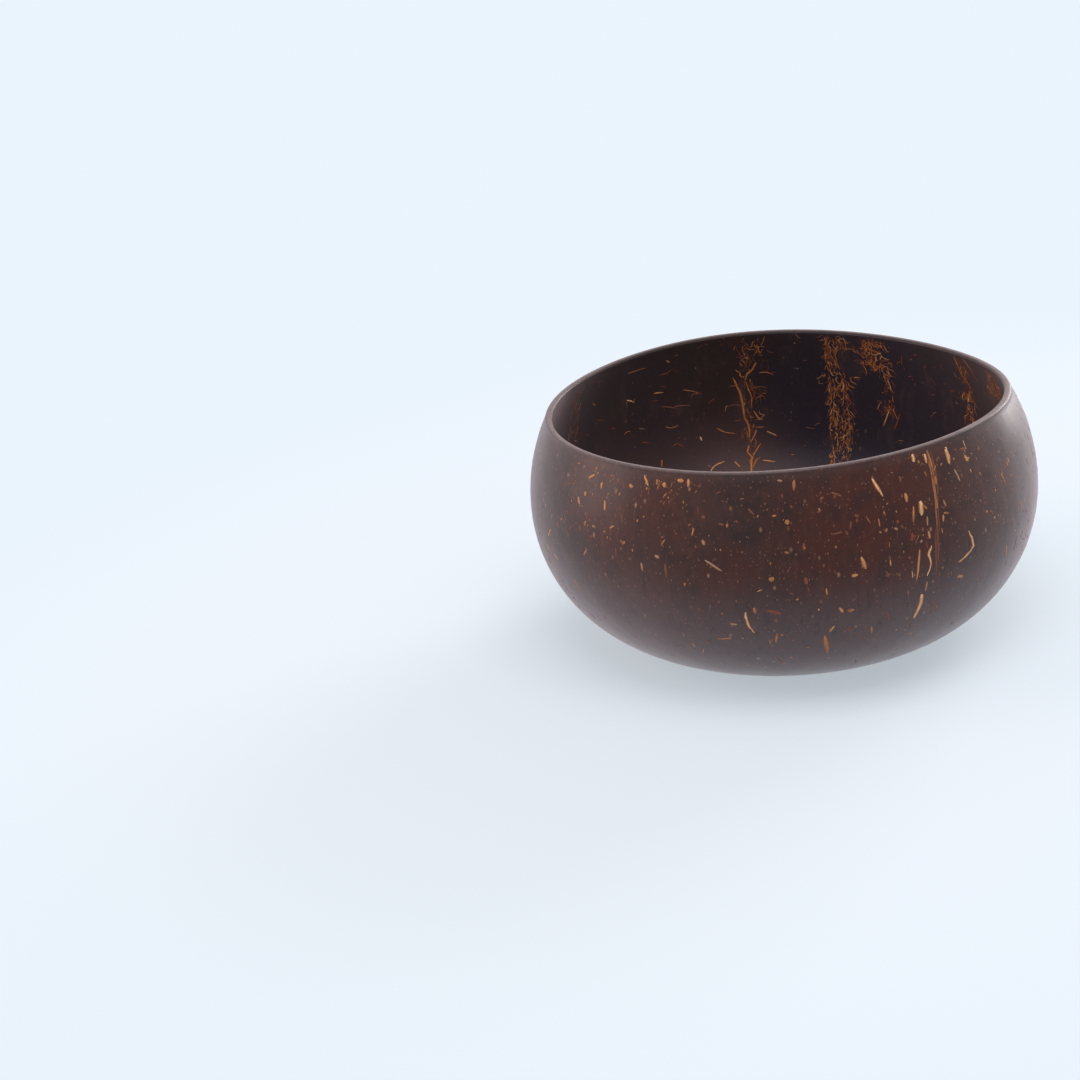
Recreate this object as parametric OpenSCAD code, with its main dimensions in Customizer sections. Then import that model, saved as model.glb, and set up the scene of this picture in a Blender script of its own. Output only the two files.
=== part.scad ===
// A bowl made of most of one coconut shell, cut above its widest ring, with the sanded base down.
// Millimetres, +Z up, origin at the middle of the flat base, the side that faces the viewer at -Y.

/* [Outside] */
// Mean width of the shell at its widest ring
belly_d = 142; // [120:1:170]
// Height of the widest ring above the flat base
belly_h = 40; // [32:1:52]
// Height of the lip above the widest ring
lip_rise = 27; // [14:0.5:36]
// How far the shell draws in on each side from the widest ring to the mouth
mouth_inset = 6.5; // [3:0.5:14]
// Mean width of the flat sanded on the bottom
base_d = 68; // [52:1:84]

/* [Wall] */
// Thickness of the shell at the widest ring
side_wall = 3.4; // [2.4:0.1:5]
// Thickness of the shell at the lip
lip_wall = 2; // [1.6:0.1:4]
// Height of the rounding over the cut lip
lip_crown = 0.8; // [0.4:0.1:1.4]
// Thickness of the floor at its middle, over the flat
floor_t = 4.5; // [3.5:0.1:7]
// Roundness of the floor's corner, where 2 is a plain ellipse and more is squarer
cavity_fullness = 2.7; // [2.3:0.1:3.2]

/* [Natural shape] */
// How far the three long ridges of the nut stand out from a circle at the widest ring
ridge_out = 0.3; // [0:0.1:3]
// Direction of the first ridge, in degrees from +X
ridge_turn = 32; // [0:1:120]
// How far the shell is out of round the long way, at the widest ring
oval_out = 0.9; // [0:0.1:2]
// Direction of the long way, in degrees from +X
oval_turn = 135; // [0:1:180]
// How far the hand-cut lip waves up and down in two waves around
lip_wave = 0.9; // [0:0.1:2.5]
// Direction of one crest of these two waves
lip_wave_turn = 106; // [0:1:180]
// How far it waves in three shorter waves
lip_ripple = 0.4; // [0:0.1:0.8]
// Direction of one crest of these three waves
lip_ripple_turn = 89; // [0:1:120]

/* [Eyes of the nut] */
// Distance of the three eyes from the middle of the base
eye_reach = 14; // [11:0.5:18]
// Width of the soft eye, which goes right through the floor
soft_eye_d = 10; // [6:0.5:12]
// Width of each of the two hard eyes, which are only pits
hard_eye_d = 8; // [5:0.5:11]
// Depth of the pits of the hard eyes
hard_eye_depth = 2; // [1:0.1:2.8]
// How much an eye narrows on each side, as a share of its depth
eye_taper_share = 0.12; // [0.02:0.01:0.2]
// Glue line around the fill of each eye
glue_line = 0.1; // [0.05:0.05:0.2]

/* [Smoothness] */
// Facets around the shell
around = 72; // [48:12:84]

/* [Hidden] */

belly_r = belly_d / 2;
base_r = base_d / 2;
mouth_r = belly_r - mouth_inset;
wall_top = belly_h + lip_rise - lip_crown;
cavity_belly_r = belly_r - side_wall;
cavity_mouth_r = mouth_r - lip_wall;
cavity_depth = belly_h - floor_t;

// Rings of points up the outside, over the lip and down the inside
lower_rings = 14;
upper_rings = 6;
lip_rings = 7;
// Squareness of the lip's rounding, where 2 is a plain half ellipse
lip_fullness = 2.6;

// The soft eye lies midway between two ridges, and the hard eyes follow, each one ridge further round
ridge_step = 120;
soft_eye_turn = ridge_turn + ridge_step / 2;
left_eye_turn = soft_eye_turn + ridge_step;
right_eye_turn = left_eye_turn + ridge_step;
// How far a cutter runs past the face it cuts
overrun = 1;
// The soft eye's fill ends level with the floor over its middle, where the floor has begun to rise
soft_eye_len = belly_h - cavity_fall(eye_reach);
eye_facets = 48;

// Radius of an ellipse centred at the widest ring that passes through the mouth, at a height above that ring
function above_belly(wide, narrow, rise, full) = wide * sqrt(1 - (1 - pow(narrow / wide, 2)) * pow(rise / full, 2));

// Depth of the cavity below the widest ring at a distance from the middle
function cavity_fall(r) = cavity_depth * pow(1 - pow(r / cavity_belly_r, cavity_fullness), 1 / cavity_fullness);

// Outside, from the edge of the flat up to the widest ring: a quarter ellipse
function outside_lower() = [
    for (i = [0:lower_rings - 1])
        let (a = 90 * i / lower_rings)
        [base_r + (belly_r - base_r) * sin(a), belly_h * (1 - cos(a))]
];

// Outside, from the widest ring up to the lip
function outside_upper() = [
    for (i = [0:upper_rings])
        let (rise = (wall_top - belly_h) * i / upper_rings)
        [above_belly(belly_r, mouth_r, rise, wall_top - belly_h), belly_h + rise]
];

// Over the lip, from the outside to the inside
function lip() = [
    for (i = [1:lip_rings - 1])
        let (a = 180 * i / lip_rings)
        let (across = (cos(a) < 0 ? -1 : 1) * pow(abs(cos(a)), 2 / lip_fullness))
        [mouth_r - lip_wall * (1 - across) / 2, wall_top + lip_crown * pow(sin(a), 2 / lip_fullness)]
];

// Inside, from the lip down to the widest ring
function inside_upper() = [
    for (i = [upper_rings:-1:0])
        let (rise = (wall_top - belly_h) * i / upper_rings)
        [above_belly(cavity_belly_r, cavity_mouth_r, rise, wall_top - belly_h), belly_h + rise]
];

// Inside, from the widest ring down to the floor, short of the middle point
function inside_lower() = [
    for (i = [1:lower_rings - 1])
        let (a = 90 * i / lower_rings)
        [
            cavity_belly_r * pow(cos(a), 2 / cavity_fullness),
            belly_h - cavity_depth * pow(sin(a), 2 / cavity_fullness)
        ]
];

// How far the shell stands out from a circle in one direction, as a part of its radius
function lobes(turn) = (ridge_out * cos(3 * (turn - ridge_turn)) + oval_out * cos(2 * (turn - oval_turn))) / belly_r;

// How far the lip is lifted in one direction, fading to nothing at the widest ring
function wave(turn) = lip_wave * cos(2 * (turn - lip_wave_turn)) + lip_ripple * cos(3 * (turn - lip_ripple_turn));
function lift(z) = let (t = min(1, max(0, (z - belly_h) / (wall_top - belly_h)))) t * t * (3 - 2 * t);

function ring(r, z) = [
    for (i = [0:around - 1])
        let (turn = 360 * i / around)
        let (reach = r * (1 + lobes(turn)))
        [reach * cos(turn), reach * sin(turn), z + wave(turn) * lift(z)]
];

// The shell's wall as one closed surface: the flat, the rings in order, and a fan over the middle of the floor
module shell_wall() {
    section = concat(outside_lower(), outside_upper(), lip(), inside_upper(), inside_lower());
    last = len(section) - 1;
    middle = around * len(section);
    points = concat([for (s = section) each ring(s[0], s[1])], [[0, 0, floor_t]]);
    flat = [for (i = [0:around - 1]) i];
    bands = [
        for (k = [0:last - 1])
            for (i = [0:around - 1])
                let (j = (i + 1) % around)
                let (low = k * around)
                let (high = low + around)
                each [[low + i, high + i, high + j], [low + i, high + j, low + j]]
    ];
    fan = [
        for (i = [0:around - 1])
            [last * around + i, middle, last * around + (i + 1) % around]
    ];
    polyhedron(points, concat([flat], bands, fan), convexity = 4);
}

// A round peg that narrows from the base face inwards, at one eye's place, with the same taper past both ends
module eye_peg(turn, d, deep, slack = 0, below = 0, above = 0) {
    rotate(turn)
        translate([eye_reach, 0, -below])
            cylinder(
                h = below + deep + above,
                r1 = d / 2 + slack + eye_taper_share * below,
                r2 = d / 2 + slack - eye_taper_share * (deep + above),
                $fn = eye_facets
            );
}

module shell() {
    color("#4a3831")
        difference() {
            shell_wall();
            eye_peg(soft_eye_turn, soft_eye_d, soft_eye_len, glue_line, overrun, overrun);
            eye_peg(left_eye_turn, hard_eye_d, hard_eye_depth, glue_line, overrun);
            eye_peg(right_eye_turn, hard_eye_d, hard_eye_depth, glue_line, overrun);
        }
}

module soft_eye_plug() {
    color("#3a2a24")
        eye_peg(soft_eye_turn, soft_eye_d, soft_eye_len);
}

module left_eye_fill() {
    color("#5a4236")
        eye_peg(left_eye_turn, hard_eye_d, hard_eye_depth - glue_line);
}

module right_eye_fill() {
    color("#5a4236")
        eye_peg(right_eye_turn, hard_eye_d, hard_eye_depth - glue_line);
}

shell();
soft_eye_plug();
left_eye_fill();
right_eye_fill();
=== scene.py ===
"""Dresses the coconut shell bowl: satin shell, fibre strands in its wall, filled eyes and a pale stage."""

import math
import random
from bisect import bisect_right

import bmesh
import bpy
from bpy.props import FloatProperty, FloatVectorProperty, IntProperty, PointerProperty
from mathutils import Matrix, Vector


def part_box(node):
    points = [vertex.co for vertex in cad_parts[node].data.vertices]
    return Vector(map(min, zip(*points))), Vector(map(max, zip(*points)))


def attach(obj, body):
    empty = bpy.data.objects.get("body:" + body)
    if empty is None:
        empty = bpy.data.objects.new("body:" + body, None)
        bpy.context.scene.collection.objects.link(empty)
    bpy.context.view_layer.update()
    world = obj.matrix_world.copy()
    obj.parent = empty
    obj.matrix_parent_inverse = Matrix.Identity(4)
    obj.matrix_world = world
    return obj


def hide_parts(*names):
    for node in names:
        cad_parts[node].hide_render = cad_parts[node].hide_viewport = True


bl_info = {
    "name": "Coconut Shell Bowl",
    "version": (1, 0, 0),
    "blender": (4, 5, 0),
    "location": "View3D > Sidebar > Shell Bowl",
    "description": "Builds a polished coconut shell bowl with fibre strands in its wall",
    "category": "Add Mesh",
}

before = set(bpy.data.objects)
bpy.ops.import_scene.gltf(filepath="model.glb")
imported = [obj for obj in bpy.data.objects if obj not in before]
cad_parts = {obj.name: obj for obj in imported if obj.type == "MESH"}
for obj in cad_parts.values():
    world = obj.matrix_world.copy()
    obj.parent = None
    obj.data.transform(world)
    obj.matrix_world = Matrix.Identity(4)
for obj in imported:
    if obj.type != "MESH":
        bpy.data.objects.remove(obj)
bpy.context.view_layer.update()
MM = 0.001
EYE_FILLS = ("soft_eye_plug", "left_eye_fill", "right_eye_fill")

# Tones of the strands. Husk is a dull pale brown.
TONES = range(6)
REDDISH, ORANGE, TAN, BEIGE, HUSK, DULL_RED = TONES

# Flecks that stand out at the front. Each has its direction in degrees, its distance below the lip, its
# length and its width in mm, its lean from upright in degrees, and its tone.
FRONT_FLECKS = (
    (214, 4.5, 3, 1, -60, TAN), (218, 6, 2, 1, 0, TAN), (213, 9.5, 1.5, 1.4, 0, TAN),
    (211, 12, 2.5, 1, 35, TAN), (220, 11, 3, 0.9, 10, TAN), (227, 4.5, 1.6, 1.2, 75, TAN),
    (214, 17.5, 2, 0.8, -26, ORANGE), (217, 17.5, 1.5, 0.8, 90, HUSK), (198, 25.5, 4, 0.7, -43, TAN),
    (196, 31, 2.3, 0.6, 30, BEIGE), (200, 32, 2.4, 0.7, 63, BEIGE), (214, 25.5, 3, 0.6, -38, HUSK),
    (194, 42, 5, 0.8, -31, BEIGE), (231, 2.5, 3.5, 0.8, 34, TAN), (234, 2.5, 1.7, 0.8, 7, ORANGE),
    (236, 3, 1.6, 1.4, 7, TAN), (240, 1.5, 2, 1.4, 80, TAN), (242, 2, 2.3, 1, 2, TAN),
    (246, 10.5, 1.3, 1.1, -78, REDDISH), (246, 17, 1.7, 1.1, 18, HUSK), (248, 23, 5.7, 0.8, 58, HUSK),
    (231, 25.5, 2.6, 0.8, 11, HUSK), (235, 22, 1.6, 1.1, 70, HUSK), (237, 25.5, 4, 0.8, 5, REDDISH),
    (264, 12, 1.5, 1.5, 0, ORANGE), (266, 3, 3.1, 0.9, -7, ORANGE), (263, 1.5, 1.4, 0.8, 76, HUSK),
    (267, 18.5, 2.2, 0.8, -4, REDDISH), (275, 6.5, 2.7, 0.7, 62, REDDISH),
    (277, 14.5, 2.3, 0.6, -14, REDDISH), (274, 16, 3, 0.5, -85, REDDISH), (284, 6.5, 5.7, 1.1, 21, BEIGE),
    (294, 1.5, 2.3, 1.4, -7, BEIGE), (297, 2.5, 2.7, 1.1, -10, BEIGE), (303, 3.5, 4.7, 1.7, -8, BEIGE),
    (298, 8.5, 2.4, 1, -14, ORANGE), (308, 6, 2.2, 1.1, 23, TAN), (304, 9, 3.6, 0.7, 15, HUSK),
    (308, 3.5, 2.9, 0.8, 79, REDDISH), (290, 10.5, 2.5, 1.1, 0, TAN), (293, 14, 4, 1.9, -7, BEIGE),
    (291, 15, 4.3, 0.9, -11, ORANGE), (290, 20.5, 2.3, 1, -8, DULL_RED), (297, 14, 2.8, 0.8, -6, ORANGE),
    (299, 14.5, 2.1, 0.7, 15, HUSK), (299, 17, 2, 0.8, 75, ORANGE), (298, 18, 2, 0.8, -8, TAN),
    (294, 17.5, 2.6, 0.6, -5, HUSK), (294, 21, 2.3, 0.9, 6, TAN), (293, 35, 3.2, 0.7, -6, HUSK),
    (302, 35.5, 2.5, 1.4, 78, HUSK), (279, 24.5, 3.9, 1.4, 18, TAN), (277, 27.5, 1.9, 1.2, -82, TAN),
    (284, 29, 1.6, 1.1, -76, REDDISH), (312, 21.5, 1.8, 1, 45, REDDISH), (325, 25, 2.4, 0.6, -13, TAN),
    (318, 35.5, 4.7, 0.6, 8, TAN), (256, 35.5, 2.1, 1.1, 6, ORANGE), (260, 36, 4.5, 1.1, 71, DULL_RED),
    (260, 26.5, 1.7, 1.6, -75, ORANGE), (267, 27.5, 2.3, 1.2, 8, DULL_RED), (274, 37, 2.1, 1.1, 29, TAN),
    (276, 37.5, 2.1, 1.4, -88, ORANGE), (251, 40, 2.1, 0.9, 87, HUSK), (248, 45.5, 3.7, 0.8, -84, ORANGE),
    (244, 47.5, 2.2, 0.6, -45, REDDISH), (240, 49.5, 1.8, 0.8, 19, HUSK), (260, 45, 3.9, 0.9, -8, ORANGE),
    (276, 44, 1.5, 1.1, 55, DULL_RED), (272, 43, 2.7, 0.9, -32, TAN), (271, 49, 8.4, 1.8, 7, ORANGE),
    (281, 45.5, 3, 0.8, 6, ORANGE), (224, 23, 2.7, 0.6, 0, REDDISH),
)

# Longer strands at the front: their places in degrees and mm below the lip, width in mm, and tone
FRONT_STRANDS = (
    (((298, 0.5), (298, 5), (297.5, 9)), 0.9, ORANGE), (((297.7, 7), (297.2, 11), (297, 15)), 0.6, ORANGE),
    (((297.1, 1.5), (297.3, 7), (296.8, 13)), 0.45, REDDISH),
    (((298.9, 1), (298.5, 6), (297.9, 12)), 0.5, REDDISH),
    (((297.6, 3), (297.1, 9), (296.6, 15)), 0.5, ORANGE),
    (((297.9, 10), (297, 16), (296.6, 22)), 0.4, REDDISH),
    (((296.9, 12), (296.3, 17), (296, 21)), 0.45, ORANGE),
    (((296.6, 15), (296.1, 22), (295.7, 30)), 0.6, REDDISH),
    (((295.7, 20), (295.3, 26), (295.3, 33)), 0.5, DULL_RED),
    (((294.5, 24), (293.5, 26), (294, 29), (293, 32)), 0.9, BEIGE),
    (((291.5, 24), (291, 28), (290.5, 32.5)), 0.8, TAN), (((292, 37), (292, 40), (291, 45)), 1.7, BEIGE),
    (((304.5, 23.5), (305, 25.5), (305.5, 28), (303.5, 30), (301, 31)), 1, BEIGE),
    (((254, 36), (254, 38.5), (254.5, 41), (255.5, 43)), 1, BEIGE),
)

# Patches of smaller flecks over the outside: directions and mm below the lip from, to, and how many
OUTSIDE_PATCHES = (
    (204, 232, 2, 22, 100), (228, 246, 1, 8, 24), (235, 264, 4, 30, 44), (262, 286, 3, 30, 40),
    (284, 310, 1, 22, 64), (285, 300, 20, 50, 34), (305, 330, 1, 40, 90), (236, 300, 30, 54, 60),
    (192, 214, 18, 50, 52), (200, 330, 50, 82, 50), (330, 352, 1, 44, 64), (346, 366, 1, 30, 60),
    (346, 366, 24, 70, 30), (6, 40, 2, 60, 44), (40, 62, 1, 34, 60), (44, 58, 30, 60, 24),
    (62, 100, 1, 60, 60), (98, 118, 1, 24, 50), (112, 150, 2, 66, 60), (148, 166, 1, 40, 60),
    (160, 196, 2, 60, 60),
)

# Directions of the broken lines of fibre down the other sides, which the front has at 298 degrees
BROKEN_LINES = (16, 52, 108, 156, 356)

# Cracks and curls that stand out inside, given as the longer strands at the front are
INSIDE_STRANDS = (
    (((94, 14), (93, 17.5), (92, 21), (91.5, 27.5), (90.5, 30), (90.5, 36)), 1, ORANGE),
    (((90.5, 36), (91.5, 38.5), (90.5, 40.5), (91, 43), (91.5, 49)), 1.1, ORANGE),
    (((90.5, 40.5), (88.5, 37.5), (87.5, 36)), 0.7, ORANGE),
    (((90.5, 36), (89, 33), (88.5, 31.5)), 0.8, ORANGE),
    (((87.5, 10), (88.5, 12), (90, 13.5), (91, 15.5)), 0.9, ORANGE),
    (((87, 4.5), (86.5, 8)), 0.7, DULL_RED),
    (((89.5, 15), (89, 18.5), (88.5, 21), (90.5, 23)), 0.7, REDDISH),
    (((89, 25.5), (87.5, 28.5), (86, 27)), 0.8, ORANGE),
    (((87, 13.5), (85, 13.5), (83, 14.5)), 0.5, ORANGE), (((86, 32.5), (83, 34.5)), 0.6, TAN),
    (((88, 41.5), (84, 42.5)), 0.6, TAN), (((102.5, 43), (101, 41.5), (98, 40.5)), 0.7, TAN),
    (((95.5, 41), (94, 43)), 1, ORANGE), (((99.5, 29.5), (97, 31.5), (93.5, 32.5)), 0.55, ORANGE),
    (((115.5, 36), (116, 38.5)), 0.7, ORANGE), (((112, 33), (110.5, 32.5), (108.5, 34)), 0.6, REDDISH),
    (((104, 31.5), (103.5, 33)), 0.9, BEIGE), (((113.5, 26), (111.5, 27), (109.5, 26.5)), 0.5, ORANGE),
    (((121, 29), (118.5, 30)), 0.6, REDDISH), (((114.5, 19.5), (112.5, 20), (110, 21)), 0.6, REDDISH),
    (((111, 20.5), (108.5, 20.5), (106, 21)), 0.5, REDDISH), (((116.5, 14.5), (113.5, 15)), 0.7, TAN),
    (((108, 15.5), (105.5, 16.5), (102.5, 18)), 0.5, ORANGE), (((125, 14), (122.5, 15.5)), 0.7, BEIGE),
    (((125.5, 5), (122.5, 5), (119.5, 5)), 0.5, ORANGE), (((115, 9), (113, 9), (111, 8)), 0.5, REDDISH),
    (((113, 4.5), (112, 5.5)), 0.6, TAN), (((52, 25), (53, 28), (54, 31)), 0.7, TAN),
    (((49, 26), (50, 29.5), (51, 32)), 0.6, REDDISH), (((46, 5.5), (46.5, 9)), 0.6, REDDISH),
    (((90.8, 15.5), (90, 18.5), (89.2, 21.5), (89.6, 25)), 0.6, ORANGE),
    (((91, 12), (90, 9.5), (89.5, 7)), 0.6, REDDISH),
    (((88.5, 22), (86.5, 21), (85.5, 22.5)), 0.45, REDDISH),
    (((90, 19), (87.5, 18), (85, 18.5)), 0.4, REDDISH),
    (((90.6, 44), (89.4, 41.5), (88, 40.5)), 0.6, ORANGE),
    (((91.5, 24), (94, 23), (96.5, 23.5)), 0.4, REDDISH),
    (((26, 0.5), (25, 7.5), (23, 10.5), (24, 16.5)), 0.8, ORANGE),
    (((22, 0.5), (20, 3.5), (18, 8)), 0.7, ORANGE), (((9, 0.5), (7.5, 3.5), (7, 10)), 0.5, REDDISH),
)

# Tangled bands of fine fibre down the inside: directions and mm below the lip from, to, how many, and lean
INSIDE_BANDS = (
    (60, 69, 0.5, 6, 50, 50), (65.5, 68.8, 3, 46, 120, 14), (61.8, 66.8, 13, 46, 150, 20),
    (84, 95, 1, 8, 30, 50), (86, 94, 6, 60, 60, 25), (50, 60, 0.5, 11, 130, 45), (50, 54, 10, 26, 44, 14),
    (22, 27, 1, 14, 40, 12), (22, 28, 12, 26, 60, 45), (2, 14, 0.5, 9, 90, 25), (67.5, 69.5, 1, 60, 60, 8),
    (60, 70, 44, 66, 40, 30), (142, 149, 0.5, 34, 50, 18), (170, 176, 1, 12, 20, 20),
    (201, 206, 0.5, 30, 44, 15), (233, 243, 2, 58, 110, 18), (262, 267, 1, 22, 38, 30),
    (286, 297, 0.5, 48, 100, 20), (327, 334, 4, 36, 56, 15), (350, 356, 0.5, 30, 44, 20),
)


def shell_size(name, text, mm):
    """A length of the shell, given here in mm and kept in metres."""
    return FloatProperty(name=name, description=text, default=mm * MM, min=0.0, unit="LENGTH", precision=4)


def stage_size(name, text, metres):
    return FloatProperty(name=name, description=text, default=metres, min=0.0, unit="LENGTH", precision=4)


def direction(name, text, degrees):
    return FloatProperty(name=name, description=text, default=math.radians(degrees), subtype="ANGLE")


def whole_number(name, text, value):
    return IntProperty(name=name, description=text, default=value, min=1)


def number(name, text, value):
    return FloatProperty(name=name, description=text, default=value, min=0.0)


def share(name, text, value):
    return FloatProperty(name=name, description=text, default=value, min=0.0, max=1.0, subtype="FACTOR")


def tint(name, text, colour):
    return FloatVectorProperty(
        name=name, description=text, default=colour, min=0.0, max=1.0, subtype="COLOR"
    )


def spot(name, text, place_mm):
    """A place on the shell in mm from the middle of its base."""
    return FloatVectorProperty(name=name, description=text, default=place_mm)


class ShellShape(bpy.types.PropertyGroup):
    """Sizes of the shell's wall, the same as those of the solid."""

    belly_width: shell_size("Widest ring", "Mean width of the shell at its widest ring", 142)
    belly_height: shell_size("Belly height", "Height of the widest ring above the flat base", 40)
    lip_rise: shell_size("Lip rise", "Height of the lip above the widest ring", 27)
    mouth_inset: shell_size("Draw-in", "How far the wall draws in from the widest ring to the mouth", 6.5)
    base_width: shell_size("Flat", "Mean width of the flat sanded on the bottom", 68)
    side_wall: shell_size("Side wall", "Thickness at the widest ring", 3.4)
    lip_wall: shell_size("Lip wall", "Thickness at the lip", 2)
    lip_crown: shell_size("Lip rounding", "Height of the rounding over the cut lip", 0.8)
    lip_fullness: number("Lip fullness", "Squareness of the rounding over the lip, where 2 is round", 2.6)
    floor_thickness: shell_size("Floor", "Thickness of the floor at its middle", 4.5)
    cavity_fullness: number("Hollow fullness", "Squareness of the floor's corner, where 2 is round", 2.7)
    ridge_out: shell_size("Ridges", "How far the three ridges stand out from a circle", 0.3)
    ridge_turn: direction("First ridge", "Direction of the first ridge", 32)
    oval_out: shell_size("Oval", "How far the shell is out of round", 0.9)
    oval_turn: direction("Long way", "Direction of the long way", 135)
    lip_wave: shell_size("Lip wave", "How far the lip waves in two waves around", 0.9)
    lip_wave_turn: direction("Lip wave turn", "Direction of one crest of the two waves", 106)
    lip_ripple: shell_size("Lip ripple", "How far the lip waves in three waves around", 0.4)
    lip_ripple_turn: direction("Lip ripple turn", "Direction of one crest of the three waves", 89)
    flat_edge: shell_size("Edge of the flat", "Width of the softened edge of the sanded flat", 0.4)
    around: whole_number("Steps around", "Mesh steps around the shell", 288)


class EyeSizes(bpy.types.PropertyGroup):
    """How the eye holes fit the fills, which the frame brings."""

    taper: share("Taper", "How much an eye narrows on each side, as a share of its depth", 0.12)
    glue_line: shell_size("Glue line", "What the glue around each fill leaves open", 0.02)


class ShellFinish(bpy.types.PropertyGroup):
    """Colours and gloss of the polished shell."""

    dark: tint("Dark shell", "Darkest parts of the outside", (0.032, 0.0125, 0.01))
    brown: tint("Brown shell", "Brown parts of the outside", (0.061, 0.021, 0.0145))
    red: tint("Red shell", "Reddish parts of the outside", (0.056, 0.009, 0.0035))
    # Painted reflection: a lilac-grey sheen put into the colour of the lower wall
    low_sheen: tint("Painted low sheen", "Lilac-grey sheen painted over the lower wall", (0.094, 0.063, 0.068))
    sanded: tint("Sanded flat", "Colour of the flat base and the wall near it", (0.07, 0.036, 0.026))
    ruddy_spot: spot("Ruddy spot", "Middle of the reddest patch outside", (14, -69, 47))
    hollow: tint("Inside", "Colour of the inside wall", (0.05, 0.029, 0.0285))
    hollow_cold: tint("Inside, colder", "Blue-black parts of the inside wall", (0.033, 0.025, 0.037))
    cold_spot: spot("Cold spot", "Middle of the blackest patch inside", (34, 50, 44))
    # The cut lip is paler in its own right, and this colour adds a painted highlight on top
    lip: tint("Cut lip with highlight", "Colour of the cut and sanded lip, lightened further by a painted highlight", (0.158, 0.118, 0.113))
    below_lip_highlight: share("Highlight below lip", "How strong the highlight painted just below the lip is", 0.1)
    fibre: tint("Fine fibre", "Colour of the finest fibre in the wall", (0.36, 0.13, 0.035))
    speck: tint("Pale speck", "Colour of the palest specks", (0.4, 0.22, 0.13))
    gloss_spread: share("Roughness", "Roughness of the satin polish", 0.36)
    haze: share("Haze", "How much soft haze the polish has at a low angle", 0.33)
    oil_index: number("Refraction", "Refractive index of the oiled surface", 1.32)


class StrandLook(bpy.types.PropertyGroup):
    """Number, height and brightness of the fibre strands."""

    seed: whole_number("Seed", "Seed of the scattered strands", 23)
    inside_count: whole_number("Inside strands", "Strands scattered inside", 820)
    proud: shell_size("Proud", "How far the middle of a strand stands above the wall", 0.035)
    sunk: shell_size("Sunk", "How far a strand goes into the wall", 0.12)
    fringe: share("Fringe", "How orange the rims of the pale flecks outside are", 0.9)
    # Painted light: the same fibre inside is made paler to make up for the shade in the hollow
    inside_painted_light: number("Painted light inside", "How much light is painted into the fibre inside, where less light falls", 1.65)


class StageLook(bpy.types.PropertyGroup):
    """Camera, floor and lamps."""

    lens: stage_size("Lens", "Focal length of the camera", 0.0722)
    floor: tint("Floor", "Colour of the floor and backdrop", (0.823, 0.905, 0.982))
    floor_width: stage_size("Floor width", "Width of the floor", 12.0)
    shadow: share("Shadow", "How much of the floor's light near the bowl comes from the lamps", 0.5)
    shadow_reach: stage_size("Shadow reach", "Where the lamps' part of the floor has faded", 0.36)
    surround: number("Surround", "Strength of the even light from all around", 0.45)


# The wall's shape

# Steps of each half of the section: for laying strands, in the shell's mesh, and over its lip
FINE_STEPS = 96
MESH_STEPS = 34
LIP_STEPS = 14

# How far to each side, down the wall and around it in radians, a direction off the wall is taken from
DOWN_STEP = 0.4 * MM
TURN_STEP = 0.004


def smooth_step(low, high, value):
    t = min(1.0, max(0.0, (value - low) / (high - low)))
    return t * t * (3 - 2 * t)


def squared_circle(angle, fullness):
    """A point of a circle that is squared off as its fullness says."""
    across = math.copysign(abs(math.cos(angle)) ** (2 / fullness), math.cos(angle))
    return across, math.sin(angle) ** (2 / fullness)


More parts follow.
